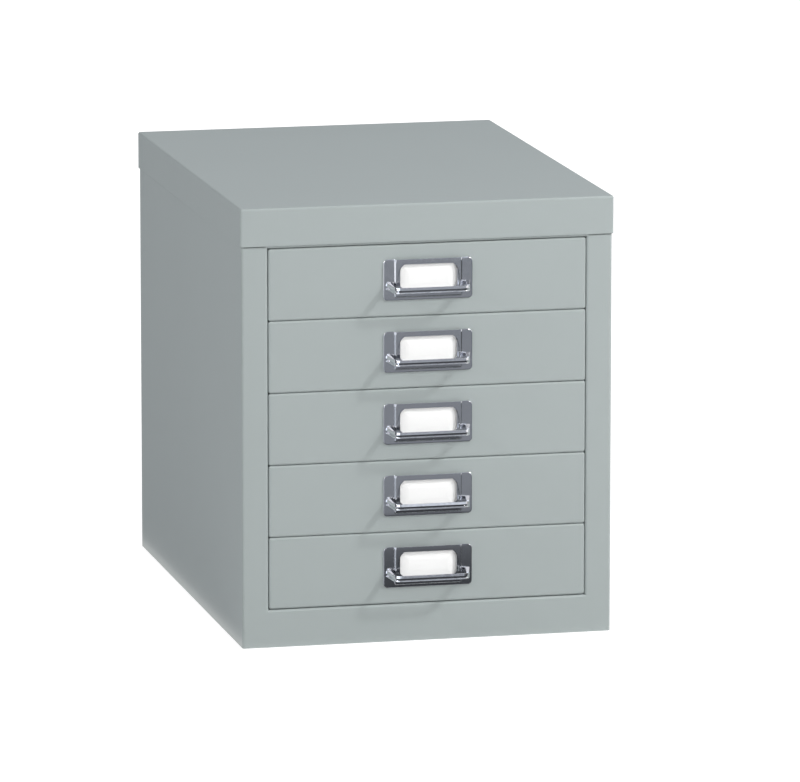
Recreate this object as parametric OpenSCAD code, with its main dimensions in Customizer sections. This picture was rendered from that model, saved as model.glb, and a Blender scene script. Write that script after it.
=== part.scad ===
// Desktop cabinet of shallow drawers, folded from thin steel sheet.
// Millimetres: X to the right, Y to the back, Z up. The origin lies on the surface that
// the cabinet stands on, under the middle of its whole outline, handles included.

/* [Cabinet] */
// Width over the lid
width = 279; // [240:1:360]
// Depth over the lid
depth = 380; // [350:1:460]
// Height to the top of the lid
height = 325; // [300:1:400]
// Number of drawers
drawers = 5; // [3:1:6]
// Thickness of the cabinet's sheet
sheet = 0.8; // [0.6:0.1:1.2]
// Outer radius of the cabinet's folds
fold_r = 2; // [1.8:0.1:3]

/* [Lid] */
// Height of the lid's skirt
lid_skirt = 28; // [18:1:40]
// Gap between the lid's skirt and the cabinet inside it
lid_gap = 0.2; // [0.1:0.05:0.5]

/* [Uprights and rails] */
// Width of the upright at each side of the drawers
stile_w = 19.4; // [17:0.1:28]
// Depth of the upright's inner return, which carries the runners
stile_return = 31; // [28:1:40]
// Width of the flange that each side folds in behind the back panel
rear_flange = 15; // [10:1:16]
// Width of the flange that each side folds in under the lid
top_flange = 14; // [10:1:16]
// Height of the rail under the drawers
rail_h = 27.9; // [20:0.1:40]
// Depth of the rails under and above the drawers
rail_d = 14; // [8:1:14]
// Height of the lip that ends each rail inside
rail_lip = 6.5; // [4:0.5:10]
// How far the top rail shows below the lid's skirt
rail_show = 1.5; // [0.2:0.1:3]
// Width of each rear post's flange on the back panel
post_flange = 15; // [10:1:16]
// Depth of each rear post, which carries the runners
post_d = 31; // [24:1:40]
// Height of the base pan's folded-up edges
pan_edge = 12; // [8:1:16]
// Clearance between the base pan and the uprights
pan_gap = 0.2; // [0.1:0.1:0.5]

/* [Runners] */
// Width of a runner's ledge
ledge_w = 14; // [10:1:18]
// Height of a runner's web above its ledge
web_h = 14; // [12:1:16]
// Gap between the rails and the front end of the runners
runner_front_gap = 1.5; // [1:0.1:4]
// Gap between the back panel and the rear end of the runners
runner_back_gap = 4; // [2:0.5:8]
// Height above the ledge at which the stop tabs start
tab_rise = 3; // [2:0.5:4]
// Height of a stop tab
tab_h = 9; // [6:0.5:9]
// How far a front stop tab reaches in from the web
tab_w = 2.2; // [2:0.1:2.6]
// Width of the rear stop tab on the ledge
rear_tab_w = 8; // [5:0.5:8]
// How far the rear stop tab stands clear of the ledge's inner edge
rear_tab_inset = 1; // [0.5:0.5:2]

/* [Drawers] */
// Gap between the top rail and the top drawer
top_gap = 0.7; // [0.5:0.1:3]
// Gap between the lowest drawer and the rail under it
bottom_gap = 0.7; // [0.5:0.1:3]
// Gap between one drawer front and the next
front_gap = 0.5; // [0.4:0.1:3]
// Gap between a drawer front and each upright
side_gap = 0.5; // [0.4:0.1:3]
// Thickness of the drawers' sheet
drawer_sheet = 0.7; // [0.5:0.1:1]
// Outer radius of the drawer front's folds
front_r = 1.6; // [1.1:0.1:2.2]
// Depth of the boxed drawer front
front_d = 12; // [10:0.5:13]
// Width of the lips that close the drawer front's back
front_lip = 9; // [6:0.5:10]
// Outer radius of the folds under the tray
tray_r = 1.5; // [1.2:0.1:2.5]
// Gap between the tray and each upright's inner face
tray_side_gap = 3.8; // [3.6:0.1:4.2]
// How far the tray's underside lies above the drawer front's bottom edge
tray_rise = 3.6; // [2.5:0.1:5]
// How far the tray's edge lies below the drawer front's top edge
tray_drop = 1.15; // [0.5:0.05:3]
// Free depth behind a closed tray
tray_back_gap = 17.8; // [12:0.1:25]
// Height of the hem along the tray's edges
hem_h = 6; // [4:0.5:10]
// Gap under a tray on its runners
slide_gap = 0.2; // [0.1:0.05:0.3]
// How far a drawer pulls out
travel = 280; // [200:1:300]
// Gap at each stop
stop_gap = 0.4; // [0.2:0.1:1]
// How far a stop ear stands out from the tray
ear_w = 2.4; // [2.2:0.1:2.6]

/* [Handles] */
// How far the handle's middle lies above the drawer front's middle
handle_rise = 0.5; // [-2:0.1:4]
// Width of the handle's plate
plate_w = 66.6; // [60:0.1:80]
// Height of the handle's plate
plate_h = 30.5; // [28:0.5:34]
// Corner radius of the plate
plate_r = 3; // [1:0.5:5]
// Thickness of the plate
plate_t = 1; // [0.8:0.1:1.5]
// Width of the raised label frame
frame_w = 50; // [46:1:54]
// How far the raised frame stands off the drawer
frame_rise = 3; // [2.6:0.1:4]
// Thickness of the raised frame
frame_t = 1.2; // [0.8:0.1:1.4]
// Height of bare plate under the raised frame
frame_foot = 2.3; // [1:0.1:4]
// Width of the label window
window_w = 42.4; // [36:0.1:43]
// Height of the label window
window_h = 18.6; // [15:0.1:19]
// Height of the frame above the window
window_top = 3.9; // [2:0.1:5]
// Cut across each corner of the window
window_cut = 3; // [1:0.5:5]
// How far the pull stands out from the drawer front
pull_reach = 16.5; // [12:0.5:22]
// Half width of the pull between its ends, where they leave the plate
pull_root = 32; // [29:0.1:32.4]
// Half width of the pull at its front
pull_tip = 27.5; // [22:0.5:28]
// Radius of the pull's front corners
pull_r = 6; // [3:0.5:8]
// Thickness of the pull's band
pull_t = 1.4; // [0.8:0.1:1.8]
// Height of the pull's band in front
pull_h = 4.4; // [3:0.1:5]
// Height of the pull's band where it leaves the plate
pull_root_h = 2.2; // [1.5:0.1:4]
// How far the band's upper edge in front lies above the window's lower edge
pull_rise = 3.3; // [1:0.1:5]
// How far the band's upper edge drops from the plate to the front
pull_drop = 1.4; // [0:0.1:3]
// Width of the label card
card_w = 47; // [43:0.5:47]
// Height of the label card
card_h = 26; // [22:0.5:26]
// Thickness of the label card
card_t = 0.4; // [0.2:0.1:0.6]

/* [Handle screws] */
// Distance of each screw from the handle's middle
screw_x = 28.5; // [28.5:0.1:29]
// Radius of the screw's thread
screw_r = 1.95; // [1.4:0.05:2]
// Length of the screw under its head
screw_len = 12; // [9:0.5:12]
// Radius of the screw's head
head_r = 4; // [3:0.1:4.5]
// Height of the screw's head
head_h = 2.3; // [1.8:0.1:3]
// Radius of the handle's threaded boss
boss_r = 3.4; // [2.8:0.1:3.4]
// Length of the handle's threaded boss
boss_len = 7; // [5:0.5:8]
// Clearance round a thread and round a boss
hole_gap = 0.3; // [0.1:0.1:0.5]

/* [Hidden] */
bend_steps = 5;
cut = 1;
$fn = 48;
thread_gap = 0.05;

paint = [0.68, 0.72, 0.71];
bright = [0.78, 0.79, 0.82];
white = [0.97, 0.97, 0.97];
zinc = [0.72, 0.73, 0.72];

// The cabinet inside the lid
overhang = sheet + lid_gap;
lid_back = (depth + pull_reach - overhang) / 2;
lid_front = lid_back - depth;
body_half = width / 2 - overhang;
body_front = lid_front + overhang;
body_back = lid_back - overhang;
body_h = height - sheet;
back_inner = body_back - 2 * sheet;
open_half = body_half - stile_w;

// The drawer fronts, numbered from the top
front_half = open_half - side_gap;
front_top = height - lid_skirt - rail_show - top_gap;
front_low = rail_h + bottom_gap;
front_h = (front_top - front_low - (drawers - 1) * front_gap) / drawers;
pitch = front_h + front_gap;
function front_z(i) = front_top - front_h - (i - 1) * pitch;
function ledge_z(i) = front_z(i) + tray_rise - slide_gap;

// The trays and runners
shell_back = body_front + front_d;
tray_half = open_half - tray_side_gap;
tray_h = front_h - tray_rise - tray_drop;
tray_back = back_inner - tray_back_gap;
runner_front = body_front + rail_d + runner_front_gap;
runner_back = back_inner - runner_back_gap;
ear_y = runner_front + sheet + stop_gap + travel;
ear_inset = 1;

// The handle, from the middle of its plate
frame_low = frame_foot - plate_h / 2;
window_high = plate_h / 2 - window_top;
window_low = window_high - window_h;
pocket_half = frame_w / 2 - frame_t;
pocket_low = frame_low + frame_t;
boss_floor = 0.2;
cross_w = 0.9;
cross_len = 4.4;
cross_deep = 1.3;

// ---- Helpers ----

function unit(v) = v / norm(v);
function left_of(d) = [-d.y, d.x];

// Points that round the corner at p between its neighbours a and b
function corner(a, p, b, r) =
    let (u = unit(a - p), v = unit(b - p), half = acos(u * v) / 2,
         mid = p + unit(u + v) * r / sin(half),
         start = p + u * r / tan(half) - mid, end = p + v * r / tan(half) - mid,
         first = atan2(start.y, start.x), turn = atan2(cross(start, end), start * end))
    [for (k = [0:bend_steps]) let (t = first + turn * k / bend_steps)
        mid + r * [cos(t), sin(t)]];

// An open line with each of its inner corners rounded
function bent(p, r) = concat([p[0]],
    [for (k = [1:len(p) - 2]) each corner(p[k - 1], p[k], p[k + 1], r)], [p[len(p) - 1]]);

// A closed outline with every corner rounded
function rounded(p, r) = [for (k = [0:len(p) - 1])
    each corner(p[(k + len(p) - 1) % len(p)], p[k], p[(k + 1) % len(p)], r)];

function box_points(x0, y0, x1, y1) = [[x0, y0], [x1, y0], [x1, y1], [x0, y1]];

// Section of a sheet folded along the line p, which is its outer face. The sheet lies to the
// left of the line, and the line turns left by a right angle at each fold.
function folded(p, r, t) =
    let (n = len(p), d = [for (k = [0:n - 2]) unit(p[k + 1] - p[k])],
         inner = concat([p[0] + t * left_of(d[0])],
             [for (k = [1:n - 2]) p[k] + t * (left_of(d[k - 1]) + left_of(d[k]))],
             [p[n - 1] + t * left_of(d[n - 2])]),
         back = bent(inner, r - t))
    concat(bent(p, r), [for (k = [len(back) - 1:-1:0]) back[k]]);

// A section in Y and Z drawn out along X
module along_x(x0, x1) {
    translate([x0, 0, 0]) rotate([90, 0, 90]) linear_extrude(x1 - x0) children();
}

// A section in X and Z drawn out along Y
module along_y(y0, y1) {
    translate([0, y1, 0]) rotate([90, 0, 0]) linear_extrude(y1 - y0) children();
}

// A section in X and Y drawn out along Z
module along_z(z0, z1) {
    translate([0, 0, z0]) linear_extrude(z1 - z0) children();
}

module block(low, high) {
    translate(low) cube(high - low);
}

// A round bar along Y
module bar(r, y0, y1) {
    translate([0, y1, 0]) rotate([90, 0, 0]) cylinder(r = r, h = y1 - y0);
}

module both_sides() {
    children();
    mirror([1, 0, 0]) children();
}

// ---- Cabinet ----

// Shallow cap: a flat top with a skirt all round, corners welded and rounded
module lid() {
    color(paint) difference() {
        along_z(height - lid_skirt, height)
            polygon(rounded(box_points(-width / 2, lid_front, width / 2, lid_back), fold_r));
        along_z(height - lid_skirt - cut, height - sheet)
            polygon(rounded(box_points(sheet - width / 2, lid_front + sheet,
                width / 2 - sheet, lid_back - sheet), fold_r - sheet));
    }
}

// Right wall with its front upright, the upright's return and the flanges, folded in one
module side_panel() {
    color(paint) union() {
        along_z(0, body_h) polygon(folded([
            [open_half, body_front + stile_return], [open_half, body_front],
            [body_half, body_front], [body_half, body_back],
            [body_half - rear_flange, body_back]], fold_r, sheet));
        block([body_half - top_flange, body_front + stile_return, body_h - sheet],
            [body_half - sheet / 2, back_inner, body_h]);
    }
}

module right_side() {
    side_panel();
}

module left_side() {
    mirror([1, 0, 0]) side_panel();
}

// Flat sheet that lies against the rear flanges of both sides
module back_panel() {
    color(paint) block([fold_r - body_half, back_inner, 0],
        [body_half - fold_r, back_inner + sheet, body_h]);
}

// Floor of the cabinet, with folded-up edges at the sides and the front
module base_pan() {
    edge = body_half - sheet;
    color(paint) difference() {
        union() {
            along_y(body_front + sheet, min(back_inner, body_back - fold_r)) polygon(folded([
                [-edge, pan_edge], [-edge, 0], [edge, 0], [edge, pan_edge]], fold_r, sheet));
            block([-open_half, body_front + sheet, 0],
                [open_half, body_front + 2 * sheet, pan_edge]);
        }
        both_sides() block([open_half - pan_gap, body_front, -cut],
            [body_half, body_front + stile_return + pan_gap, pan_edge + cut]);
    }
}

// Folded rail between the uprights, under the lowest drawer
module bottom_rail() {
    color(paint) along_x(-open_half, open_half) polygon(folded([
        [body_front + rail_d, rail_h - rail_lip], [body_front + rail_d, rail_h],
        [body_front, rail_h], [body_front, 0]], fold_r, sheet));
}

// Folded rail between the uprights, behind the lid's skirt, with its lower fold just in sight
module top_rail() {
    low = height - lid_skirt - rail_show;
    color(paint) along_x(-open_half, open_half) polygon(folded([
        [body_front + rail_d, body_h], [body_front, body_h], [body_front, low],
        [body_front + rail_d, low], [body_front + rail_d, low + rail_lip]], fold_r, sheet));
}

// Angle on the back panel that carries the rear ends of the runners
module rear_post() {
    color(paint) along_z(sheet, body_h - sheet) polygon(folded([
        [open_half + post_flange, back_inner], [open_half, back_inner],
        [open_half, back_inner - post_d]], fold_r, sheet));
}

module right_rear_post() {
    rear_post();
}

module left_rear_post() {
    mirror([1, 0, 0]) rear_post();
}

// ---- Runners ----

// Angle with an inward ledge whose upper face is at height z
module runner_angle(z) {
    along_y(runner_front, runner_back) polygon(folded([
        [open_half - ledge_w, z - sheet], [open_half, z - sheet],
        [open_half, z + web_h]], fold_r, sheet));
}

// Runner of one drawer, with the tabs that stop the tray open and closed
module runner(i) {
    z = ledge_z(i);
    inner = open_half - ledge_w + rear_tab_inset;
    stop = tray_back + stop_gap;
    color(paint) union() {
        runner_angle(z);
        block([open_half - sheet - tab_w, runner_front, z + tab_rise],
            [open_half - sheet / 2, runner_front + sheet, z + tab_rise + tab_h]);
        block([inner, stop, z - sheet / 2], [inner + rear_tab_w, stop + sheet, z + tab_h]);
    }
}

// Guide above the top drawer, which keeps its tray from tipping as the next runner up
// does for the others
module top_guide() {
    color(paint) runner_angle(ledge_z(1) + pitch);
}

module right_top_guide() {
    top_guide();
}

module left_top_guide() {
    mirror([1, 0, 0]) top_guide();
}

// ---- Drawers ----

// Places its children on a drawer front's outer face, where the handle's middle lies
module at_handle(i) {
    translate([0, body_front, front_z(i) + front_h / 2 + handle_rise]) children();
}

// Open tray with hemmed edges and a stop ear pressed out of each side
module drawer_tray(i) {
    z = ledge_z(i) + slide_gap;
    ear_low = ledge_z(i) + tab_rise + ear_inset;
    section = [[-tray_half, z + tray_h], [-tray_half, z], [tray_half, z],
        [tray_half, z + tray_h]];
    color(paint) difference() {
        union() {
            along_y(shell_back, tray_back) polygon(folded(section, tray_r, drawer_sheet));
            for (y = [shell_back, tray_back - drawer_sheet])
                along_y(y, y + drawer_sheet) polygon(bent(section, tray_r));
            both_sides() {
                block([tray_half - 2 * drawer_sheet, shell_back + drawer_sheet / 2,
                        z + tray_h - hem_h],
                    [tray_half - drawer_sheet / 2, tray_back - drawer_sheet / 2, z + tray_h]);
                block([tray_half - drawer_sheet / 2, ear_y, ear_low],
                    [tray_half + ear_w, ear_y + drawer_sheet,
                        ear_low + tab_h - 2 * ear_inset]);
            }
        }
        at_handle(i) both_sides() translate([screw_x, 0, 0])
            bar(screw_r + hole_gap, front_d - cut, front_d + drawer_sheet + cut);
    }
}

// Boxed front: a face with returns all round, which turn in again behind it as lips
module drawer_front(i) {
    low = front_z(i);
    high = low + front_h;
    section = [[shell_back, high - front_lip], [shell_back, high], [body_front, high],
        [body_front, low], [shell_back, low], [shell_back, low + front_lip]];
    color(paint) difference() {
        union() {
            along_x(-front_half, front_half) polygon(folded(section, front_r, drawer_sheet));
            both_sides() {
                along_x(front_half - drawer_sheet, front_half) polygon(bent(section, front_r));
                block([front_half - front_lip, shell_back - drawer_sheet,
                        low + drawer_sheet / 2],
                    [front_half - drawer_sheet / 2, shell_back, high - drawer_sheet / 2]);
            }
        }
        at_handle(i) both_sides() translate([screw_x, 0, 0])
            bar(boss_r + hole_gap, -cut, drawer_sheet + cut);
    }
}

// ---- Handles ----

// Area inside the pull's outer face seen from above, moved in by the distance inset
module pull_outline(inset) {
    polygon(bent([[inset - pull_root, 0], [inset - pull_tip, inset - pull_reach],
        [pull_tip - inset, inset - pull_reach], [pull_root - inset, 0]], pull_r - inset));
}

// Open band that stands in front of the plate, rigid, and grows higher from its ends to
// the front. Fingers hook behind it from below.
module finger_pull() {
    bend_y = pull_r - pull_reach;
    high = window_low + pull_rise;
    low = high - pull_h;
    root_high = high + pull_drop;
    intersection() {
        along_z(low, root_high) difference() {
            pull_outline(0);
            pull_outline(pull_t);
        }
        along_x(-plate_w, plate_w) polygon([[-plate_t / 2, root_high], [bend_y, high],
            [-pull_reach - cut, high], [-pull_reach - cut, low], [bend_y, low],
            [-plate_t / 2, root_high - pull_root_h]]);
    }
}

// Chrome plate with a raised frame for the label, a rigid pull and two threaded bosses
module pull_handle(i) {
    color(bright) at_handle(i) difference() {
        union() {
            difference() {
                union() {
                    along_y(-plate_t, 0) polygon(rounded(box_points(-plate_w / 2, -plate_h / 2,
                        plate_w / 2, plate_h / 2), plate_r));
                    block([-frame_w / 2, -frame_rise, frame_low],
                        [frame_w / 2, 0, plate_h / 2]);
                }
                along_y(-frame_rise - cut, 0) window_outline();
            }
            finger_pull();
            both_sides() translate([screw_x, 0, 0]) bar(boss_r, -plate_t / 2, boss_len);
        }
        block([-pocket_half, frame_t - frame_rise, pocket_low],
            [pocket_half, cut, plate_h / 2 + cut]);
        both_sides() translate([screw_x, 0, 0])
            bar(screw_r + thread_gap, boss_floor, boss_len + cut);
    }
}

// Window with its four corners cut off
module window_outline() {
    x = window_w / 2;
    polygon([[-x, window_low + window_cut], [window_cut - x, window_low],
        [x - window_cut, window_low], [x, window_low + window_cut],
        [x, window_high - window_cut], [x - window_cut, window_high],
        [window_cut - x, window_high], [-x, window_high - window_cut]]);
}

// Blank card that stands in the pocket behind the window
module label_card(i) {
    color(white) at_handle(i) block([-card_w / 2, -card_t, pocket_low],
        [card_w / 2, 0, pocket_low + card_h]);
}

// Two screws driven from inside the tray into the handle's bosses
module handle_screws(i) {
    seat = front_d + drawer_sheet;
    color(zinc) at_handle(i) both_sides() translate([screw_x, 0, 0]) difference() {
        union() {
            bar(screw_r, seat - screw_len, seat + head_h / 2);
            bar(head_r, seat, seat + head_h / 2);
            translate([0, seat + head_h / 2, 0]) rotate([-90, 0, 0])
                cylinder(r1 = head_r, r2 = head_r - head_h / 2, h = head_h / 2);
        }
        for (turn = [0, 90]) rotate([0, turn, 0]) block(
            [-cross_len / 2, seat + head_h - cross_deep, -cross_w / 2],
            [cross_len / 2, seat + head_h + cut, cross_w / 2]);
    }
}

lid();
left_side();
right_side();
back_panel();
base_pan();
bottom_rail();
top_rail();
left_rear_post();
right_rear_post();
left_top_guide();
right_top_guide();
for (i = [1:drawers]) {
    mirror([1, 0, 0]) runner(i);
    runner(i);
    drawer_tray(i);
    drawer_front(i);
    pull_handle(i);
    label_card(i);
    handle_screws(i);
}
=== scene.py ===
# %% [markdown]
# # A desk cabinet of five shallow steel drawers
#
# The cabinet stands on a desk. Its walls, lid, rails and drawers are folded from thin steel
# sheet and powder coated in one grey, and each drawer has a chromed pull that also holds a
# card. The solids of its construction come in first. They already have their sizes and
# joints, so this lesson gives them their looks: rounder folds, cast chrome, paper and paint,
# then the light. The pieces that are seen up close are worked out as surfaces with numpy,
# and the ones deeper inside keep their solid and get a better finish.

import bmesh
import bpy
import numpy as np
from mathutils import Matrix, Vector


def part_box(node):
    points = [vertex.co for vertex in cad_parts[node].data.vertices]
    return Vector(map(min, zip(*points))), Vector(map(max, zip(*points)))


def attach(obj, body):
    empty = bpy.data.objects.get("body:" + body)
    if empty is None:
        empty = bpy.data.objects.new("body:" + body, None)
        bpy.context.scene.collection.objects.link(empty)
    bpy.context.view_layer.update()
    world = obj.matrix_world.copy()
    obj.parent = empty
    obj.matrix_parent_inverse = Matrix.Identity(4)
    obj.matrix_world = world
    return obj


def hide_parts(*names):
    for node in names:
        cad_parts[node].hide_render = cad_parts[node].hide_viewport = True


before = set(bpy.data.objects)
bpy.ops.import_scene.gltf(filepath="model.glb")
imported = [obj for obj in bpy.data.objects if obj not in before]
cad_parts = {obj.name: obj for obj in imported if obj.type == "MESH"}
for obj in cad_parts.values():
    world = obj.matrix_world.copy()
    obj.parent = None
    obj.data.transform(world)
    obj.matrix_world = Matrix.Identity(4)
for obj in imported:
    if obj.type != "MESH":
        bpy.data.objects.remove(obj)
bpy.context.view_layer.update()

# %% [markdown]
# ## Sizes
#
# All sizes are in metres. The outlines of the lid, walls, rails and drawer fronts are read
# from the solids, and so is the height at which each pull sits. Only a node's box can be
# read, so thicknesses, folds, castings and cards are written out here.
#
# Not all of it is in the solids. They lack the round fold of the lid's top and the smallest
# radii, the shoulder under the lid's skirt, the welds at the rails' ends, the slope under
# each window and the bow of the cards. The top rail's folds are tighter here and the label
# frame's wall is thinner. The band has a shaped section, is a little higher, most of all
# near the plate, lies a little further up, and has thicker arms.
#
# The solids are bare steel. Powder coat adds up to about a tenth of a millimetre to each face
# and closes the narrow gaps round the drawers a little. So the fronts, the two rails and the
# uprights are drawn larger by COAT where they border a gap. COAT is more than the paint alone
# would add: it was set larger because with less of it the seams look too dark.

# %% Read the main sizes from the solids
DRAWERS = 5
MM = 0.001
lid_low, lid_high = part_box("lid")
wall_low, wall_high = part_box("right_side")
rail_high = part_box("bottom_rail")[1]
top_rail_low, top_rail_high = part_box("top_rail")
face_boxes = [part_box(f"drawer_front_{i}") for i in range(1, DRAWERS + 1)]
pull_boxes = [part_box(f"pull_handle_{i}") for i in range(1, DRAWERS + 1)]
pull_middles = [(low.z + high.z) / 2 for low, high in pull_boxes]

COAT = 0.14 * MM
for low, high in face_boxes:
    low.xz -= Vector((COAT, COAT))
    high.xz += Vector((COAT, COAT))
rail_high.z += COAT
top_rail_low.z -= COAT
SHEET = 0.8 * MM
DRAWER_SHEET = 0.7 * MM
FOLD = 2.0 * MM
FACE_FOLD = 1.6 * MM
BEND_STEPS = 8
front = wall_low.y
back = wall_high.y
opening = rail_high.x - COAT
print("cabinet front at y =", round(front, 5), " opening half width =", round(opening, 5))

# %% [markdown]
# ## Lines, rings and skins
#
# Sheet metal is a flat line with round corners, carried along. Three helpers do it all. The
# first rounds the corners of a line. The second makes one ring, a rectangle with rounded or
# cut corners, moved in by any distance. The third lays a skin of quads over a grid of points.

# %% Round the corners of a line
def unit(vectors):
    """Each vector divided by its own length."""
    return vectors / np.linalg.norm(vectors, axis=-1, keepdims=True)


def rounded_line(corners, radii, steps=BEND_STEPS):
    """An open line whose inner corners are turned on arcs. Each arc's centre lies on the
    bisector of its corner, at radius / sin(half the angle), and the arc runs from the point
    where it touches one straight to the point where it touches the other."""
    p = np.asarray(corners, float)
    mid = p[1:-1]
    r = np.broadcast_to(np.asarray(radii, float), len(mid))[:, None]
    back = unit(p[:-2] - mid)
    on = unit(p[2:] - mid)
    half = np.arccos(np.clip((back * on).sum(1), -1, 1))[:, None] / 2
    centre = mid + unit(back + on) * r / np.sin(half)
    start = mid + back * r / np.tan(half) - centre
    end = mid + on * r / np.tan(half) - centre
    first = np.arctan2(start[:, 1], start[:, 0])
    turn = np.arctan2(start[:, 0] * end[:, 1] - start[:, 1] * end[:, 0], (start * end).sum(1))
    angle = first[:, None] + turn[:, None] * np.linspace(0, 1, steps + 1)
    arcs = centre[:, None, :] + r[..., None] * np.stack([np.cos(angle), np.sin(angle)], -1)
    return np.concatenate([p[:1], arcs.reshape(-1, 2), p[-1:]])


def sheet_section(corners, radius, sheet):
    """The closed outline of a folded sheet: the outer line, then the inner line backwards.
    The inner corners are the outer ones moved by the sheet's thickness to the left of both
    straights that meet there, and their radius is smaller by the thickness."""
    p = np.asarray(corners, float)
    way = unit(p[1:] - p[:-1])
    left = np.stack([-way[:, 1], way[:, 0]], -1) * sheet
    shift = np.concatenate([left[:1], left[:-1] + left[1:], left[-1:]])
    outer = rounded_line(p, radius)
    inner = rounded_line(p + shift, radius - sheet)
    return np.concatenate([outer, inner[::-1]])


print("a folded L has", len(sheet_section([(0, 0), (1, 0), (1, 1)], 0.1, 0.05)), "outline points")

# %% Make rings and skins
def ring(low, high, size, cut=0.0, steps=BEND_STEPS):
    """One closed ring, as points (a, b): a rectangle from low to high whose four corners are
    arcs of the radius size, or straight cuts of that size where cut is 1. A corner's point
    is the arc's centre + size * (cosine, sine), or + size * (1 - s, s) on a cut."""
    s = np.linspace(0, 1, steps + 1)
    turn = s * np.pi / 2
    arc = np.stack([np.cos(turn), np.sin(turn)], -1) * (1 - cut) + np.stack([1 - s, s], -1) * cut
    quarter = np.array([[[1, 0], [0, 1]], [[0, -1], [1, 0]], [[-1, 0], [0, -1]], [[0, 1], [-1, 0]]])
    turned = np.einsum("kab,sb->ksa", quarter, arc) * size
    sides = np.array([[1, 1], [-1, 1], [-1, -1], [1, -1]])
    middle = (np.asarray(low) + np.asarray(high)) / 2
    half = (np.asarray(high) - np.asarray(low)) / 2 - size
    return (middle + sides * half)[:, None, :] + turned


SMALLEST_CORNER = 0.03 * MM


def rings(low, high, corner, insets):
    """A ring for each inset, all with the same number of points. Moving a ring in by some
    distance makes its corner radius smaller by as much, down to the smallest radius."""
    made = [ring(np.asarray(low) + s, np.asarray(high) - s, max(corner - s, SMALLEST_CORNER))
            for s in insets]
    return np.stack(made).reshape(len(insets), -1, 2)


def grid_quads(rows, columns, wrap_rows=False, wrap_columns=False):
    """Corner numbers of a grid's quads, with the first and last row or column joined if they
    wrap: quad (i, j) has the points (i, j), (i, j + 1), (i + 1, j + 1) and (i + 1, j)."""
    i = np.arange(rows if wrap_rows else rows - 1)[:, None]
    j = np.arange(columns if wrap_columns else columns - 1)[None, :]
    below = (i + 1) % rows
    right = (j + 1) % columns
    corners = [i * columns + j, i * columns + right, below * columns + right, below * columns + j]
    return np.stack(np.broadcast_arrays(*corners), -1).reshape(-1, 4)


def place(a, b, along, axis):
    """Points from two flat coordinates and the one along the axis: x takes (y, z), y takes
    (x, z) and z takes (x, y)."""
    a, b, along = np.broadcast_arrays(a, b, along)
    order = {"x": (along, a, b), "y": (a, along, b), "z": (a, b, along)}[axis]
    return np.stack(order, -1)


def skin(grid, caps=True):
    """Points and faces of a closed skin over a grid of rings, capped by its end rings."""
    rows, columns = grid.shape[:2]
    faces = grid_quads(rows, columns, wrap_columns=True).tolist()
    if caps:
        faces.append(list(range(columns)))
        faces.append(list(range((rows - 1) * columns, rows * columns)))
    return grid.reshape(-1, 3), faces


def carried_sheet(section, stations, axis):
    """A folded sheet's closed outline carried to each station along an axis. The two ends
    are closed by quads from the outer line to the inner one, as the sheet's own edge is."""
    grid = place(section[None, :, 0], section[None, :, 1], np.asarray(stations)[:, None], axis)
    points, faces = skin(grid, caps=False)
    count = len(section)
    k = np.arange(count // 2 - 1)
    end = np.stack([k, k + 1, count - 2 - k, count - 1 - k], -1)
    return points, faces + end.tolist() + (end + (len(stations) - 1) * count).tolist()


print("a ring has", ring((-1, -1), (1, 1), 0.1).size // 2, "points")

# %% Put the points into a mesh
MERGE = 0.002 * MM
CRISP = np.radians(40)


def new_piece(name, parts, body, finish, replaces, edge=0.0):
    """Joins the parts, each (points, faces), into one mesh object at the origin. Doubles are
    merged and the faces turned outwards. Edges that turn by more than 40 degrees stay crisp
    or, with a width given, get a small round."""
    counts = np.cumsum([0] + [len(points) for points, _ in parts])
    points = np.concatenate([points for points, _ in parts])
    faces = [[n + first for n in face] for first, (_, fs) in zip(counts, parts) for face in fs]
    mesh = bpy.data.meshes.new(name)
    mesh.from_pydata(points.tolist(), [], faces)
    work = bmesh.new()
    work.from_mesh(mesh)
    bmesh.ops.remove_doubles(work, verts=work.verts, dist=MERGE)
    bmesh.ops.recalc_face_normals(work, faces=work.faces)
    work.to_mesh(mesh)
    work.free()
    mesh.polygons.foreach_set("use_smooth", np.ones(len(mesh.polygons), bool))
    mesh.set_sharp_from_angle(angle=CRISP)
    mesh.materials.append(finish)
    piece = bpy.data.objects.new(name, mesh)
    bpy.context.scene.collection.objects.link(piece)
    if edge:
        soften = piece.modifiers.new("edges", "BEVEL")
        soften.width = edge
        soften.segments = 2
        soften.limit_method = "ANGLE"
        soften.angle_limit = CRISP
        soften.use_clamp_overlap = False
    shade = piece.modifiers.new("shading", "WEIGHTED_NORMAL")
    shade.keep_sharp = not edge
    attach(piece, body)
    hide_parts(*replaces)
    return piece


print("points closer than this become one (m):", MERGE)

# %% [markdown]
# ## Powder coat
#
# The steel is sprayed with dry powder and baked. The skin that this leaves is even in colour
# but never quite flat: close up it has the low waves called orange peel, and its sheen is
# soft, neither matt nor glossy. A plain colour would look like plastic. So a broad, faint
# cloud varies the colour, and two fine noises vary the height and the roughness. They are
# read from object coordinates, so the pattern stays on the metal wherever a drawer goes.

# %% Helpers for node materials
def new_material(name):
    """An empty node material with its output and a Principled shader."""
    material = bpy.data.materials.new(name)
    material.use_nodes = True
    nodes = material.node_tree.nodes
    shader = nodes["Principled BSDF"]
    return material, nodes, material.node_tree.links, shader


def noise(nodes, links, where, scale, detail=2.0, rough=0.5):
    """A noise texture on the given coordinates. The scale is in waves per metre."""
    texture = nodes.new("ShaderNodeTexNoise")
    texture.inputs["Scale"].default_value = scale
    texture.inputs["Detail"].default_value = detail
    texture.inputs["Roughness"].default_value = rough
    links.new(where, texture.inputs["Vector"])
    return texture.outputs["Fac"]


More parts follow.
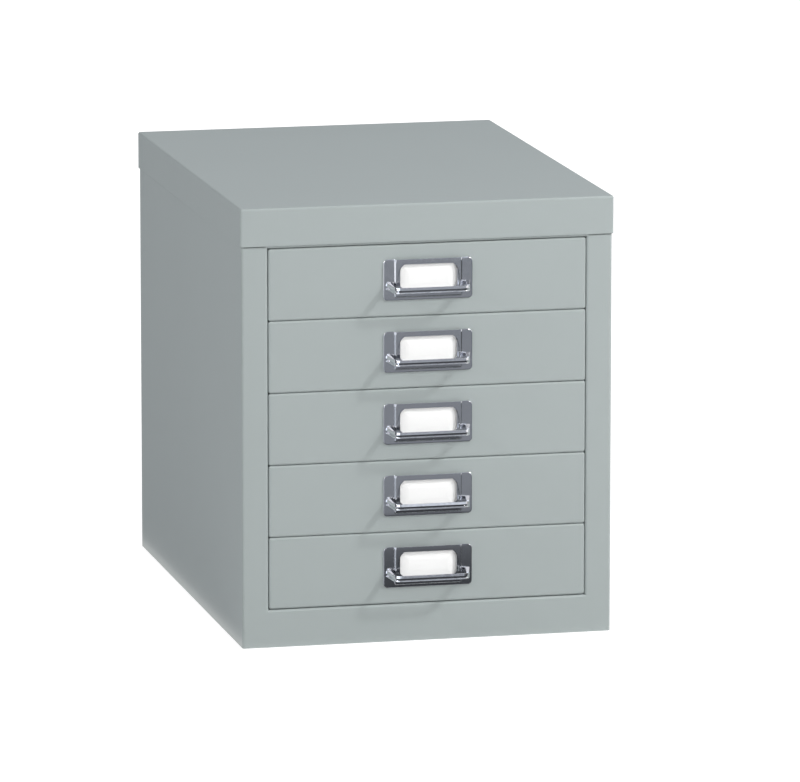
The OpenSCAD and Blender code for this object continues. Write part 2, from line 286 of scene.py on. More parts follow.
def spread(nodes, links, value, low, high):
    """A value from 0 to 1 mapped to the range from low to high."""
    mapped = nodes.new("ShaderNodeMapRange")
    mapped.inputs["From Min"].default_value = 0.25
    mapped.inputs["From Max"].default_value = 0.75
    mapped.inputs["To Min"].default_value = low
    mapped.inputs["To Max"].default_value = high
    links.new(value, mapped.inputs["Value"])
    return mapped.outputs["Result"]


def two_tone(nodes, links, value, first, second):
    """A colour between first and second, by a value."""
    blend = nodes.new("ShaderNodeMix")
    blend.data_type = "RGBA"
    blend.inputs["A"].default_value = (*first, 1)
    blend.inputs["B"].default_value = (*second, 1)
    links.new(value, blend.inputs["Factor"])
    return blend.outputs["Result"]


def bump(nodes, links, height, shader, strength, distance):
    """A bump from a height, in metres of distance."""
    node = nodes.new("ShaderNodeBump")
    node.inputs["Strength"].default_value = strength
    node.inputs["Distance"].default_value = distance
    links.new(height, node.inputs["Height"])
    links.new(node.outputs["Normal"], shader.inputs["Normal"])


print("helpers:", ", ".join(f.__name__ for f in (new_material, noise, spread, two_tone, bump)))

# %% Mix the paint
GREY = (0.378, 0.421, 0.418)
CLOUD = 0.015
CLOUD_WAVES = 14
GRAIN_WAVES = 2600
PEEL_WAVES = 620
PEEL_HEIGHT = 0.05 * MM


def powder_coat(name, shade=1.0):
    """The cabinet's paint, a little darker or lighter by shade."""
    material, nodes, links, shader = new_material(name)
    where = nodes.new("ShaderNodeTexCoord").outputs["Object"]
    cloud = noise(nodes, links, where, CLOUD_WAVES, detail=3)
    dark = [c * shade * (1 - CLOUD) for c in GREY]
    light = [c * shade * (1 + CLOUD) for c in GREY]
    links.new(two_tone(nodes, links, cloud, dark, light), shader.inputs["Base Color"])
    grain = noise(nodes, links, where, GRAIN_WAVES)
    links.new(spread(nodes, links, grain, 0.28, 0.38), shader.inputs["Roughness"])
    peel = noise(nodes, links, where, PEEL_WAVES, detail=3, rough=0.45)
    bump(nodes, links, peel, shader, 0.35, PEEL_HEIGHT)
    shader.inputs["IOR"].default_value = 1.5
    return material


paint = powder_coat("grey_powder_coat")
# The paint for the solids inside is the same grey made 3 percent darker: painted shade.
shaded_inner_paint = powder_coat("grey_powder_coat_inside_painted_shade", 0.97)
print("paint:", paint.name, "and", shaded_inner_paint.name)

# %% [markdown]
# ## Bright chrome
#
# The pulls are cast in zinc, polished and chromed. Chrome has hardly any colour of its own,
# so its look is all in its reflections. What keeps it from looking like computer chrome is
# that a polished casting is never dead flat: long low waves bend the reflections, and fine
# polishing marks make them a little soft in places.

# %% Make the chrome
CHROME_DARK = (0.76, 0.765, 0.80)
CHROME_LIGHT = (0.80, 0.805, 0.835)
HAZE_WAVES = 420
TONE_WAVES = 90
CASTING_WAVES = 130
CASTING_HEIGHT = 0.05 * MM


def bright_chrome():
    """Polished metal with slow waves in its face and a patchy, very fine haze."""
    material, nodes, links, shader = new_material("bright_chrome")
    where = nodes.new("ShaderNodeTexCoord").outputs["Object"]
    shader.inputs["Metallic"].default_value = 1.0
    haze = noise(nodes, links, where, HAZE_WAVES, detail=4, rough=0.6)
    links.new(spread(nodes, links, haze, 0.05, 0.13), shader.inputs["Roughness"])
    tone = noise(nodes, links, where, TONE_WAVES)
    tint = two_tone(nodes, links, tone, CHROME_DARK, CHROME_LIGHT)
    links.new(tint, shader.inputs["Base Color"])
    wave = noise(nodes, links, where, CASTING_WAVES, detail=1)
    bump(nodes, links, wave, shader, 0.25, CASTING_HEIGHT)
    return material


chrome = bright_chrome()
print("chrome:", chrome.name)

# %% [markdown]
# ## Card and screws
#
# The card is plain white board. Paper scatters light with no shine, and close up its fibres
# show as a faint mottle. The screws are zinc plated: greyish, soft in their shine, with a
# cloudy tarnish.

# %% Make the card and the zinc
CARD_DARK = (0.945, 0.945, 0.935)
CARD_LIGHT = (0.975, 0.975, 0.97)
FIBRE_WAVES = 1500
FIBRE_HEIGHT = 0.03 * MM
ZINC_DARK = (0.50, 0.51, 0.50)
ZINC_LIGHT = (0.64, 0.64, 0.61)
TARNISH_WAVES = 500


def white_board():
    """Matt white board with a fibre mottle in its colour and height."""
    material, nodes, links, shader = new_material("white_card")
    where = nodes.new("ShaderNodeTexCoord").outputs["Object"]
    fibre = noise(nodes, links, where, FIBRE_WAVES, detail=5, rough=0.7)
    tone = two_tone(nodes, links, fibre, CARD_DARK, CARD_LIGHT)
    links.new(tone, shader.inputs["Base Color"])
    links.new(spread(nodes, links, fibre, 0.82, 0.95), shader.inputs["Roughness"])
    bump(nodes, links, fibre, shader, 0.3, FIBRE_HEIGHT)
    return material


def zinc_plate():
    """Zinc plated steel with a cloudy tone."""
    material, nodes, links, shader = new_material("zinc_screws")
    where = nodes.new("ShaderNodeTexCoord").outputs["Object"]
    shader.inputs["Metallic"].default_value = 1.0
    cloud = noise(nodes, links, where, TARNISH_WAVES, detail=4, rough=0.6)
    tone = two_tone(nodes, links, cloud, ZINC_DARK, ZINC_LIGHT)
    links.new(tone, shader.inputs["Base Color"])
    links.new(spread(nodes, links, cloud, 0.25, 0.42), shader.inputs["Roughness"])
    return material


card_white = white_board()
zinc = zinc_plate()
print("card:", card_white.name, " screws:", zinc.name)

# %% [markdown]
# ## The lid
#
# The lid is a shallow cap: one sheet with its four sides folded down, and its corners welded
# and ground round. It could be a box with bevelled edges. A profile carried round a
# rectangle is closer to how it is made: the same fold runs along all four sides, and each
# corner is the fold turned on a small radius, which gives the small ball that catches light.

# %% Fold the lid
LID_FOLD = 1.5 * MM
SKIRT_EDGE = 0.35 * MM
TOP_INSET = 6 * MM


def lid_profile():
    """The lid's section as (inset, z): in under the top, down inside the skirt, round its
    lower edge, up outside and over the fold onto the top."""
    z_top = lid_high.z
    corners = [(TOP_INSET, z_top - SHEET), (SHEET, z_top - SHEET), (SHEET, lid_low.z),
               (0, lid_low.z), (0, z_top), (TOP_INSET, z_top)]
    return rounded_line(corners, [LID_FOLD - SHEET, SKIRT_EDGE, SKIRT_EDGE, LID_FOLD])


section = lid_profile()
flat = rings(lid_low.xy, lid_high.xy, FOLD, section[:, 0])
lid_skin = skin(place(flat[..., 0], flat[..., 1], section[:, 1][:, None], "z"))
lid = new_piece("cabinet_lid", [lid_skin], "cabinet", paint, ["lid"])
print("lid faces:", len(lid.data.polygons))

# %% [markdown]
# ## The side walls
#
# Each wall is one sheet. It goes round the front corner into the upright beside the drawers,
# and turns in once more to carry the runners. At the back it folds in behind the back panel,
# and along the top a flange lies under the lid. Just under the lid's skirt the upright is
# pressed in by less than a millimetre, so that the skirt can pass over it. That shoulder
# is what shows as a fine bright line between upright and lid.

# %% Fold the walls
STILE_RETURN = 31 * MM
REAR_FLANGE = 15 * MM
TOP_FLANGE = 14 * MM
SHOULDER = 0.9 * MM
SHOULDER_GAP = 0.3 * MM
WALL_EDGE = 0.2 * MM


def wall_part(side):
    """The wall's section in plan, carried up. side is 1 for the right and -1 for the left.
    Above the shoulder, points near the front move back by radius * (1 - cosine) while the
    height rises by radius * sine, so the face turns in on a quarter round."""
    half = wall_high.x
    section = sheet_section([(opening, front + STILE_RETURN), (opening, front), (half, front),
                             (half, back), (half - REAR_FLANGE, back)], FOLD, SHEET)
    angle = np.linspace(0, np.pi / 2, BEND_STEPS + 1)
    foot = lid_low.z - SHOULDER_GAP - SHOULDER
    heights = np.concatenate([[0], foot + SHOULDER * np.sin(angle), [wall_high.z]])
    moved = np.concatenate([[0], SHOULDER * (1 - np.cos(angle)), [SHOULDER]])
    points, faces = carried_sheet(section, heights, "z")
    near = points[:, 1] < front + 2 * FOLD
    points[:, 1] += np.where(near, np.interp(points[:, 2], heights, moved), 0)
    points[:, 0] *= side
    return points, faces


def flange_part(side):
    """The flange under the lid, a flat strip with its own thickness."""
    outer = wall_high.x - SHEET / 2
    inner = wall_high.x - TOP_FLANGE
    strip = ring((inner, wall_high.z - SHEET), (outer, wall_high.z), WALL_EDGE, steps=2)
    ends = np.array([front + STILE_RETURN, back - 2 * SHEET])
    flat = strip.reshape(1, -1, 2)
    return skin(place(side * flat[..., 0], flat[..., 1], ends[:, None], "y"))


walls = []
for name, node, side in (("left_wall", "left_side", -1), ("right_wall", "right_side", 1)):
    parts = [wall_part(side), flange_part(side)]
    walls.append(new_piece(name, parts, "cabinet", paint, [node], edge=WALL_EDGE))
print("wall faces:", [len(w.data.polygons) for w in walls])

# %% [markdown]
# ## The rails over and under the drawers
#
# A folded rail closes the front below the lowest drawer, and another one behind the lid's
# skirt shows as a thin strip over the top drawer. They are welded between the uprights and
# the joints are ground flush before painting, so only a hair line is left of them.
# The uprights have round inner edges, so a rail with square ends would leave a groove there.
# The weld that fills it belongs to the rail: its end follows the round of the upright.

# %% Fold the rails
RAIL_DEPTH = 14 * MM
RAIL_LIP = 6.5 * MM
WELD_GAP = 0.04 * MM
HEAD_FOLD = 1.1 * MM


def rail_part(corners, fold):
    """A rail's section in y and z carried along x. Its end at the depth d behind the face
    lies at opening + fold - root(fold^2 - (fold - d)^2), where the upright's round is."""
    points, faces = carried_sheet(sheet_section(corners, fold, SHEET), [-1.0, 1.0], "x")
    depth = np.clip(points[:, 1] - front, 0, FOLD)
    end = opening + FOLD - np.sqrt(FOLD**2 - (FOLD - depth) ** 2) - WELD_GAP
    points[:, 0] *= np.maximum(end, opening - WELD_GAP)
    return points, faces


inside = front + RAIL_DEPTH
sill = [(inside, rail_high.z - RAIL_LIP), (inside, rail_high.z), (front, rail_high.z), (front, 0)]
rail = new_piece("front_rail", [rail_part(sill, FOLD)], "cabinet", paint,
                 ["bottom_rail"])
head = [(inside, top_rail_high.z), (front, top_rail_high.z), (front, top_rail_low.z),
        (inside, top_rail_low.z), (inside, top_rail_low.z + RAIL_LIP)]
top_rail = new_piece("top_front_rail", [rail_part(head, HEAD_FOLD)], "cabinet", paint,
                     ["top_rail"])
print("rail faces:", len(rail.data.polygons), len(top_rail.data.polygons))

# %% [markdown]
# ## The drawer fronts
#
# A drawer front is a shallow box: a flat face folded back on all four sides and then in
# again behind, so that no raw edge can be felt. It is the lid's idea once more, a fold that
# runs round a rectangle, so the same rings make it. The tight round fold along its top edge
# is the bright line under each dark gap.

# %% Fold the drawer fronts
FACE_CORNER = 1.8 * MM
FACE_LIP = 9 * MM
FACE_MIDDLE = 14 * MM
RAW_EDGE = 0.1 * MM


def face_part(low, high):
    """The front as rings of (inset, y): from the inside of the face to its sides, round the
    lips behind, and back outside to the face."""
    t = DRAWER_SHEET
    corners = [(FACE_MIDDLE, low.y + t), (t, low.y + t), (t, high.y - t), (FACE_LIP, high.y - t),
               (FACE_LIP, high.y), (0, high.y), (0, low.y), (FACE_MIDDLE, low.y)]
    inner = FACE_FOLD - t
    section = rounded_line(corners, [inner, inner, RAW_EDGE, RAW_EDGE, FACE_FOLD, FACE_FOLD])
    flat = rings((low.x, low.z), (high.x, high.z), FACE_CORNER, section[:, 0])
    return skin(place(flat[..., 0], flat[..., 1], section[:, 1][:, None], "y"))


faces_made = []
for i, (low, high) in enumerate(face_boxes, 1):
    faces_made.append(new_piece(f"drawer_face_{i}", [face_part(low, high)], f"drawer_{i}", paint,
                                [f"drawer_front_{i}"]))
print("drawer face quads:", len(faces_made[0].data.polygons))

# %% [markdown]
# ## The pulls
#
# Each pull is one zinc casting, polished and chromed. A flat plate lies on the drawer. Its
# middle is raised into a frame that is open at the top, so that a card slides in behind the
# window. A rigid band stands in front of the window's lower edge, for the fingers.
#
# The plate and frame are a closed skin over a grid. Its rows go from the window out over the
# frame's face, down its wall, over the plate, round its edge and back behind it to the
# window. The wall runs out at the top edge, so each row is open there, and one flat face
# closes the section of the metal, as on the real casting. Under the window the frame's face
# falls away a little, so that it leaves the mould well. That slope mirrors the ground close
# by, which is why this part of a chromed pull looks darker than the rest.

# %% Cast the plate and its raised frame
PLATE_HALF = np.array([33.3, 15.25]) * MM
PLATE_CORNER = 3 * MM
PLATE_T = 1.0 * MM
PLATE_ROUND = 0.65 * MM
FRAME_HALF_X = 25 * MM
FRAME_LOW = -12.95 * MM
FRAME_RISE = 3 * MM
FRAME_T = 0.9 * MM
FRAME_FOLD = 0.9 * MM
FRAME_FOOT = 0.5 * MM
FRAME_CORNER = 1.2 * MM
FRAME_INNER_CORNER = 0.25 * MM
FRAME_DRAFT = 0.05 * MM
FRAME_SLOPE = 0.85 * MM
FACE_RUN = 2 * MM
PLATE_RUN = 1.5 * MM
WINDOW_HALF_X = 21.2 * MM
WINDOW_LOW = -7.25 * MM
WINDOW_HIGH = 11.35 * MM
WINDOW_CUT = 3 * MM
WINDOW_ROUND = 0.2 * MM
CUT_GROWTH = 0.6
EDGE_STEPS = 3


def frame_line(inset):
    """The frame's outline moved in, 36 points (x, z): down the left side, round the lower
    corners as arcs of the radius corner - inset, and up the right side as a mirror image."""
    half = FRAME_HALF_X - inset
    low = FRAME_LOW + inset
    corner = max(FRAME_CORNER - inset, FRAME_INNER_CORNER)
    turn = np.linspace(0, np.pi / 2, BEND_STEPS + 1)
    side_low = WINDOW_LOW + WINDOW_CUT
    down = PLATE_HALF[1] + (side_low - PLATE_HALF[1]) * turn / turn[-1]
    side = np.stack([np.full(turn.shape, -half), down], -1)
    bend = np.stack([corner * (1 - np.cos(turn)) - half, low + corner * (1 - np.sin(turn))], -1)
    left = np.concatenate([side, bend])
    return np.concatenate([left, left[::-1] * [-1, 1]])


def turned_ring(low, high, size, cut=0.0):
    """A ring that starts at the left end of its upper side, as the frame's lines do."""
    return np.roll(ring(low, high, size, cut).reshape(-1, 2), -BEND_STEPS - 1, axis=0)


def window_ring(grown):
    """The window with its corners cut off, grown on all sides. A cut grows by about 2 - root 2
    times as much, which moves it out as far as the sides."""
    low = np.array([-WINDOW_HALF_X, WINDOW_LOW]) - grown
    high = np.array([WINDOW_HALF_X, WINDOW_HIGH]) + grown
    return turned_ring(low, high, WINDOW_CUT + CUT_GROWTH * grown, 1.0)


def plate_part():
    """Rows of (x, z) with a height each. The frame's wall is a line with two arcs, given as
    (inset, height), and the plate's and window's front edges are quarter rounds. Under the
    window the outer rows of the frame sink by slope * (way down from the window's edge)."""
    wall = rounded_line([(FACE_RUN, FRAME_RISE), (FRAME_DRAFT, FRAME_RISE), (0, PLATE_T),
                         (-PLATE_RUN, PLATE_T)], [FRAME_FOLD, FRAME_FOOT])[1:-1]
    turn = np.linspace(0, np.pi / 2, EDGE_STEPS + 1)
    rows = [window_ring(g) for g in WINDOW_ROUND - WINDOW_ROUND * np.cos(turn)]
    heights = list(FRAME_RISE - WINDOW_ROUND + WINDOW_ROUND * np.sin(turn))
    rows += [frame_line(inset) for inset in wall[:, 0]]
    heights += list(wall[:, 1])
    drops = PLATE_ROUND * (np.cos(turn) - 1)
    for inset, height in zip(PLATE_ROUND * (1 - np.sin(turn)), drops):
        rows.append(turned_ring(inset - PLATE_HALF, PLATE_HALF - inset, PLATE_CORNER - inset))
        heights.append(PLATE_T + height)
    rows += [rows[-1], frame_line(FRAME_T), frame_line(FRAME_T), window_ring(0)]
    outer_rows = len(rows) - 3
    heights += [0, 0, FRAME_RISE - FRAME_T, FRAME_RISE - FRAME_T]
    flat = np.stack(rows)
    heights = np.array(heights)[:, None]
    under = np.clip((WINDOW_LOW - flat[..., 1]) / (WINDOW_LOW - FRAME_LOW), 0, 1)
    raised = np.clip((heights - PLATE_T) / (FRAME_RISE - PLATE_T), 0, 1)
    raised[outer_rows:] = 0
    grid = place(flat[..., 0], flat[..., 1], FRAME_SLOPE * under * raised - heights, "y")
    grid[len(turn):-1, [0, -1], 2] = PLATE_HALF[1]
    count, columns = grid.shape[:2]
    faces = grid_quads(count, columns, wrap_rows=True, wrap_columns=True)
    row = np.arange(count).repeat(columns)
    closing = np.tile(np.arange(columns) == columns - 1, count)
    open_top = closing & (row >= len(turn)) & (row < count - 2)
    first = np.arange(len(turn), count - 1) * columns
    section = np.concatenate([first, first[::-1] + columns - 1])
    return grid.reshape(-1, 3), faces[~open_top].tolist() + [section.tolist()]


print("plate faces:", len(plate_part()[1]))

# %% [markdown]
# The band is a section carried along a path. Seen from above, the path leaves the plate, runs
# forward and a little inward, turns on a soft corner and crosses. The section has a tight
# upper edge, a face that leans back a little, a hollow under it and a narrow foot. Its arms
# are thicker where they leave the plate, as the metal is in a casting that has to bear a
# pull, and flat on top. Towards the front the top leans inwards, for the fingers.

# %% Cast the band
BAND_REACH = 16.5 * MM
BAND_ROOT = 32 * MM
BAND_TIP = 27.5 * MM
BAND_CORNER = 6 * MM
BAND_T = 1.4 * MM
ROOT_GROWTH = 2.7
BAND_H = 4.6 * MM
BAND_RISE = 3.9 * MM
BAND_DROP = 1.4 * MM
BAND_LEAN = 0.5 * MM
BAND_LINE = np.array([(1.4, 2.2), (1.4, 0), (0.18, 0), (0, 2.1), (0.46, 3.6), (0.1, 3.95),
                      (0.02, 4.6), (1.4, 4.6), (1.4, 2.2)]) * MM
BAND_ROUNDS = np.array([0.3, 0.22, 0.5, 0.2, 0.12, 0.22, 0.4]) * MM
PATH_STEPS = 14


def band_section():
    """The band's closed section as (inset, depth under its upper edge). Its line ends where it
    starts, so the last point is left out."""
    return rounded_line(BAND_LINE, BAND_ROUNDS)[:-1]


def band_part():
    """Grid of section points by path points. The path for an inset s has its corners moved
    in by s, and by growth * s at the plate. With the share w from 0 at the plate to 1 at the
    bend, the upper edge drops by drop * w, and the inner side of the top sinks by lean * w."""
    rows = []
    section = band_section()
    for s in section[:, 0]:
        root = BAND_ROOT - ROOT_GROWTH * s
        corners = [(-root, 0), (s - BAND_TIP, s - BAND_REACH), (BAND_TIP - s, s - BAND_REACH),
                   (root, 0)]
        rows.append(rounded_line(corners, BAND_CORNER - s, PATH_STEPS))
    path = np.stack(rows)
    w = np.clip(-path[..., 1] / (BAND_REACH - BAND_CORNER), 0, 1)
    z = WINDOW_LOW + BAND_RISE + BAND_DROP * (1 - w) - section[:, 1][:, None]
    top = np.clip(1 - 2 * section[:, 1] / BAND_H, 0, 1) * section[:, 0] / BAND_T
    z -= BAND_LEAN * w * top[:, None]
    grid = place(path[..., 0], path[..., 1], z, "z")
    return skin(grid.transpose(1, 0, 2))


print("band faces:", len(band_part()[1]))

# %% Add the threaded bosses
BOSS_R = 3.4 * MM
BOSS_HOLE = 2.0 * MM
BOSS_LENGTH = 7 * MM
BOSS_X = 28.5 * MM
BOSS_FOOT = -0.5 * MM
HOLE_FLOOR = 0.2 * MM
BOSS_ROUNDS = np.array([0.1, 0.3, 0.2, 0.1]) * MM
BOSS_SIDES = 32


def boss_part(x):
    """A blind tube behind the plate: (radius, y) turned round the y axis through x, with
    points at x + radius * cosine and radius * sine."""
    line = rounded_line([(0, BOSS_FOOT), (BOSS_R, BOSS_FOOT), (BOSS_R, BOSS_LENGTH),
                         (BOSS_HOLE, BOSS_LENGTH), (BOSS_HOLE, HOLE_FLOOR), (0, HOLE_FLOOR)],
                        BOSS_ROUNDS)
    turn = np.linspace(0, 2 * np.pi, BOSS_SIDES + 1)[:-1]
    radius = line[:, 0][:, None]
    grid = place(x + radius * np.cos(turn), radius * np.sin(turn), line[:, 1][:, None], "y")
    return skin(grid, caps=False)


print("boss faces:", len(boss_part(BOSS_X)[1]))

# %% Set the pulls on the drawers
PULL_EDGE = 0.12 * MM


def moved(part, offset):
    """The same part with every point moved."""
    points, faces = part
    return points + np.asarray(offset), faces


casting = [plate_part(), band_part(), boss_part(-BOSS_X), boss_part(BOSS_X)]
pulls = []
for i, middle in enumerate(pull_middles, 1):
    parts = [moved(part, (0, front, middle)) for part in casting]
    pulls.append(new_piece(f"card_pull_{i}", parts, f"drawer_{i}", chrome,
                           [f"pull_handle_{i}"], edge=PULL_EDGE))
print("pull faces:", len(pulls[0].data.polygons))

# %% [markdown]
# ## The cards
#
# A card stands behind each window with nothing written on it. Card that has stood for years
# bows a little, so its middle leans towards the window.

# %% Cut the cards
CARD_HALF = 23.5 * MM
CARD_HIGH = 26 * MM
CARD_T = 0.4 * MM
CARD_CORNER = 0.8 * MM
CARD_EDGE = 0.12 * MM
CARD_INSET = 9 * MM
CARD_BOW = 1.6 * MM
BOW_POWER = 8
POCKET_LOW = FRAME_LOW + 1.2 * MM


def card_part(centre):
    """A rounded rectangle in rings of (inset, y), bowed by bow * (1 - (x / half width)^power)."""
    section = rounded_line([(CARD_INSET, 0), (0, 0), (0, CARD_T), (CARD_INSET, CARD_T)], CARD_EDGE)
    low = (-CARD_HALF, centre[2] + POCKET_LOW)
    high = (CARD_HALF, centre[2] + POCKET_LOW + CARD_HIGH)
    flat = rings(low, high, CARD_CORNER, section[:, 0])
    bow = CARD_BOW * (1 - (flat[..., 0] / CARD_HALF) ** BOW_POWER)
    depth = centre[1] - section[:, 1][:, None] - bow
    return skin(place(flat[..., 0], flat[..., 1], depth, "y"))


cards = []
for i, middle in enumerate(pull_middles, 1):
    part = card_part((0, front, middle))
    cards.append(new_piece(f"blank_card_{i}", [part], f"drawer_{i}", card_white,
                           [f"label_card_{i}"]))
print("cards:", len(cards))

# %% [markdown]
# ## Finish for the solids that stay
#
# Back panel, base, posts, guides, runners, trays and screws keep their own solid. Their mesh
# is loose triangles, so a Weld joins them for shading, and an Edge Split keeps the real edges
# crisp while the folds turn smoothly. The painted ones get the grey made 3 percent darker,
# which is painted shade for their place inside the cabinet.

# %% Paint what stays
SPLIT_ANGLE = np.radians(30)
FINISHES = {"handle_screws": (zinc, "screw_steel")}
kept = [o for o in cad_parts.values() if not o.hide_render]
for node in kept:
    family = node.name.rstrip("0123456789_")
    # Painted solids get the darker copy of the grey, which is painted shade for their place inside.
    finish, slot = FINISHES.get(family, (shaded_inner_paint, "paint"))
    node.data.materials.clear()
    node.data.materials.append(finish)
    node.data.polygons.foreach_set("use_smooth", np.ones(len(node.data.polygons), bool))
    join = node.modifiers.new("join", "WELD")
    join.merge_threshold = MERGE
    split = node.modifiers.new("crisp", "EDGE_SPLIT")
    split.split_angle = SPLIT_ANGLE
print("solids kept:", len(kept))

# %% [markdown]
# ## The studio
#
# The cabinet stands on a white floor in soft light. To the lens, and in mirrors and glass,
# floor and world are plain white, while the world lights the cabinet about half as brightly,
# so that the pale room doesn't wash out the paint. The floor keeps a faint soft shadow.

# %% Light the world
def seen(nodes, links):
    """1 for rays from the lens, from mirrors and through glass, else 0."""
    path = nodes.new("ShaderNodeLightPath")
    first = nodes.new("ShaderNodeMath")
    first.operation = "MAXIMUM"
    links.new(path.outputs["Is Camera Ray"], first.inputs[0])
    links.new(path.outputs["Is Glossy Ray"], first.inputs[1])
    second = nodes.new("ShaderNodeMath")
    second.operation = "MAXIMUM"
    links.new(first.outputs[0], second.inputs[0])
    links.new(path.outputs["Is Transmission Ray"], second.inputs[1])
    return second.outputs[0]


AMBIENT = 0.51
world = bpy.data.worlds.new("white_studio")
bpy.context.scene.world = world
world.use_nodes = True
sky_nodes = world.node_tree.nodes
sky_links = world.node_tree.links
sky = sky_nodes["Background"]
sky.inputs["Color"].default_value = (1, 1, 1, 1)
level = sky_nodes.new("ShaderNodeMapRange")
level.inputs["To Min"].default_value = AMBIENT
level.inputs["To Max"].default_value = 1.0
sky_links.new(seen(sky_nodes, sky_links), level.inputs["Value"])
sky_links.new(level.outputs["Result"], sky.inputs["Strength"])
print("light of the world, next to 1 for what the lens sees:", AMBIENT)

# %% Lay the floor
FLOOR_HALF = 7.0
FLOOR_WHITE = (0.8, 0.8, 0.8, 1)
FLOOR_GLOW = 1.44
FAR_GLOW = 1.72
GLOW_START = 0.7
GLOW_END = 2.4
FLOOR_SHARE = 0.6
corners = np.array([[-1, -1, 0], [1, -1, 0], [1, 1, 0], [-1, 1, 0]]) * FLOOR_HALF
floor_mesh = bpy.data.meshes.new("studio_floor")
floor_mesh.from_pydata(corners.tolist(), [], [[0, 1, 2, 3]])
floor = bpy.data.objects.new("studio_floor", floor_mesh)
bpy.context.scene.collection.objects.link(floor)
floor_paint, nodes, links, shader = new_material("studio_floor")
nodes.remove(shader)
matt = nodes.new("ShaderNodeBsdfDiffuse")
matt.inputs["Color"].default_value = FLOOR_WHITE
glow = nodes.new("ShaderNodeEmission")
far = nodes.new("ShaderNodeVectorMath")
far.operation = "LENGTH"
links.new(nodes.new("ShaderNodeTexCoord").outputs["Object"], far.inputs[0])
growth = nodes.new("ShaderNodeMapRange")
growth.inputs["From Min"].default_value = GLOW_START
growth.inputs["From Max"].default_value = GLOW_END
growth.inputs["To Min"].default_value = FLOOR_GLOW
growth.inputs["To Max"].default_value = FAR_GLOW
links.new(far.outputs["Value"], growth.inputs["Value"])
links.new(growth.outputs["Result"], glow.inputs["Strength"])
share = nodes.new("ShaderNodeMath")
share.operation = "MULTIPLY"
share.inputs[1].default_value = FLOOR_SHARE
links.new(seen(nodes, links), share.inputs[0])
mix = nodes.new("ShaderNodeMixShader")
links.new(share.outputs[0], mix.inputs["Fac"])
links.new(matt.outputs[0], mix.inputs[1])
links.new(glow.outputs[0], mix.inputs[2])
links.new(mix.outputs[0], nodes["Material Output"].inputs["Surface"])
floor_mesh.materials.append(floor_paint)
print("floor side (m):", 2 * FLOOR_HALF)

# %% [markdown]
# Chrome in an all white room looks like white plastic. A photographer therefore stands dark
# cards, called flags, just outside the picture, for the metal to mirror, and bright ones
# where it needs a glint. These cards are seen by mirrors only: they cast no shadow, and the
# lens doesn't see them.
#
# - The floor in front is dark close by and grey further off, so the pulls get darker from the
#   top one to the lowest. On the right it is darkest, which draws the frame's right edge.
# - A grey card stands far in front for the band's face, with a paler foot for the lowest
#   pull. Over it a bright strip lights the flat tops of the arms.
# - A bright card on the left and a bright wedge on the floor give the band's left corner and
#   the frame's left edge their glints.
# - Overhead, high in front, on the left and behind, darker cards quieten the room.
# - Low cards round the cabinet keep the white floor out of the sheen of its walls.
#
# The list gives each card's name, its corners in metres and its tone, where 1 is white.

# %% Stand the flags
CARD_TINT = (0.91, 0.97, 1.06, 1)


def mirror_only(name, points, tone):
    """A card that only mirrors see, which glows with the given tone. The tone is a number, or
    (near, far, start, end): it then goes from near to far with the distance from the cabinet's
    front, between start and end."""
    mesh = bpy.data.meshes.new(name)
    mesh.from_pydata(points, [], [[0, 1, 2, 3]])
    card = bpy.data.objects.new(name, mesh)
    bpy.context.scene.collection.objects.link(card)
    material, nodes, links, shader = new_material(name)
    nodes.remove(shader)
    light = nodes.new("ShaderNodeEmission")
    light.inputs["Color"].default_value = CARD_TINT
    if np.ndim(tone):
        split = nodes.new("ShaderNodeSeparateXYZ")
        links.new(nodes.new("ShaderNodeTexCoord").outputs["Object"], split.inputs[0])
        growth = nodes.new("ShaderNodeMapRange")
        growth.interpolation_type = "SMOOTHSTEP"
        levels = dict(zip(("To Min", "To Max", "From Min", "From Max"), tone))
        for socket, value in levels.items():
            growth.inputs[socket].default_value = front - value if "From" in socket else value
        links.new(split.outputs["Y"], growth.inputs["Value"])
        links.new(growth.outputs["Result"], light.inputs["Strength"])
    else:
        light.inputs["Strength"].default_value = tone
    links.new(light.outputs[0], nodes["Material Output"].inputs["Surface"])
    mesh.materials.append(material)
    card.visible_camera = False
    card.visible_diffuse = False
    card.visible_shadow = False
    card.visible_transmission = False
    card.visible_volume_scatter = False


def upright_card(x1, y1, x2, y2, low, high):
    """Corners of a card that stands on the line from (x1, y1) to (x2, y2)."""
    return [(x1, y1, low), (x2, y2, low), (x2, y2, high), (x1, y1, high)]


def flat_card(x1, y1, x2, y2, z=0.6 * MM):
    """Corners of a level card, which lies just over the floor unless z says otherwise."""
    return [(x1, y1, z), (x2, y1, z), (x2, y2, z), (x1, y2, z)]


def wedge_card(first, last, near, far, z=1.2 * MM):
    """Corners of a level card between two directions and two distances from the band's left
    corner: x = corner + distance * sine and y = corner - distance * cosine of the direction,
    in degrees to the right of straight ahead."""
    turn = np.radians([first, first, last, last])
    reach = np.array([near, far, far, near])
    x = BAND_CORNER - BAND_TIP + reach * np.sin(turn)
    y = front + BAND_CORNER - BAND_REACH - reach * np.cos(turn)
    return np.stack([x, y, np.full(4, z)], -1).tolist()


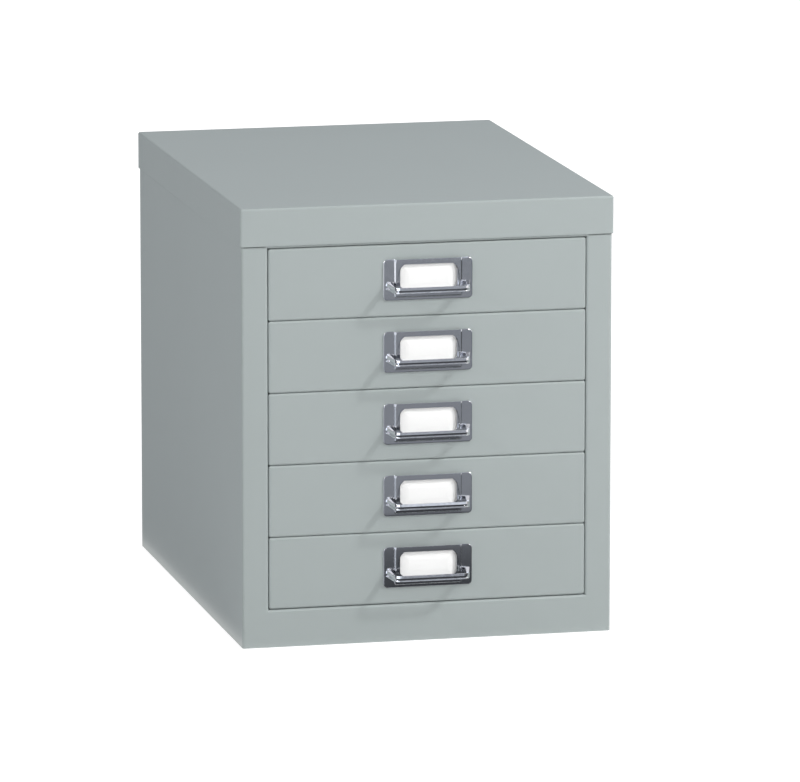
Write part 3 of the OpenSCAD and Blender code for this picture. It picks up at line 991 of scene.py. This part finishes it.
FAR = front - 2.2
NEAR = front - 1.2
REAR = 1.6
WEST = -2.2
EAST = 3.0
CLEAR = 6 * MM
HUSH = 0.35
FLAGS = [
    ("flag_in_front", flat_card(-1.4, FAR, EAST, front - CLEAR), (0.06, 0.265, 0.15, 0.6)),
    ("flag_right_front", flat_card(0.75, FAR, EAST, front - CLEAR, 0.9 * MM), 0.04),
    ("flag_far_front", upright_card(-0.8, FAR, EAST, FAR, 0, 0.43), 0.38),
    ("flag_far_foot", upright_card(-0.8, FAR + 0.01, EAST, FAR + 0.01, 0, 0.075), 0.95),
    ("bright_strip", upright_card(0, FAR - 0.05, 1.2, FAR - 0.05, 0.43, 0.8), 2.4),
    ("bright_left", upright_card(WEST, NEAR, -0.85, FAR, 0, 0.6), 1.8),
    ("flag_high_front", upright_card(-0.9, NEAR, 0.62, NEAR, 0.8, 2.4), 0.2),
    ("flag_overhead", flat_card(-3.0, NEAR, 3.5, REAR, 2.4), 0.3),
    ("flag_left", upright_card(WEST, -1.0, WEST, REAR, 0, 3.0), 0.14),
    ("flag_behind", upright_card(-3.0, REAR, 3.5, REAR, 0, 3.5), HUSH),
    ("flag_left_floor", flat_card(WEST, front, lid_low.x - CLEAR, REAR), HUSH),
    ("flag_right_floor", flat_card(lid_high.x + CLEAR, front, -WEST, REAR), HUSH),
    ("flag_back_floor", flat_card(lid_low.x, lid_high.y + CLEAR, lid_high.x, REAR), HUSH),
    ("bright_wedge", wedge_card(-49, -65, 0.15, 2.0), 1.9),
]
for name, points, tone in FLAGS:
    mirror_only(name, points, tone)
print("cards that only mirrors see:", len(FLAGS))

# %% [markdown]
# Three lamps light the cabinet from above: a small one on the right for the crisp shadows of
# the pulls, a broad one beside it that gives the most light of the three, and a weak one on
# the left.
# The broad one is hidden from mirrors too, or it would lie on the lid as a white patch.

# %% Hang the lamps
AIM = (0.0, -0.18, 0.16)
LAMPS = {
    "key_softbox": ((1.47, -1.06, 1.70), 0.2, 20),
    "broad_softbox": ((1.60, -1.80, 1.60), 2.6, 35),
    "side_softbox": ((-2.0, -0.7, 1.5), 0.3, 11.5),
}


def softbox(name, spot, size, watts):
    """A square area lamp at spot, with the given side, turned to face the drawers."""
    data = bpy.data.lights.new(name, "AREA")
    data.shape = "SQUARE"
    data.size = size
    data.energy = watts
    lamp = bpy.data.objects.new(name, data)
    lamp.location = spot
    lamp.rotation_euler = (Vector(spot) - Vector(AIM)).to_track_quat("Z", "Y").to_euler()
    bpy.context.scene.collection.objects.link(lamp)
    return lamp


lamps = {name: softbox(name, *values) for name, values in LAMPS.items()}
lamps["broad_softbox"].visible_glossy = False
print("lamps:", len(lamps))

# %% [markdown]
# ## The camera
#
# A long lens a good way off keeps the upright edges nearly parallel. It stands to the left of
# the cabinet's front and looks slightly down.

# %% Set up the camera
SPOT = (-1.2636, -5.50435, 1.2166)
LENS_MM = 343.56
SENSOR_MM = 36
SIGHT = 60
YAW = np.radians(13.142)
PITCH = np.radians(10.672)
ROLL = np.radians(0.015)
lens = bpy.data.cameras.new("camera")
lens.lens = LENS_MM
lens.sensor_width = SENSOR_MM
lens.clip_end = SIGHT
camera = bpy.data.objects.new("camera", lens)
bpy.context.scene.collection.objects.link(camera)
turn = Matrix.Rotation(-YAW, 4, "Z") @ Matrix.Rotation(np.pi / 2 - PITCH, 4, "X")
roll = Matrix.Rotation(ROLL, 4, "Z")
camera.matrix_world = Matrix.Translation(SPOT) @ turn @ roll
bpy.context.scene.camera = camera
bpy.context.scene.view_settings.view_transform = "Standard"
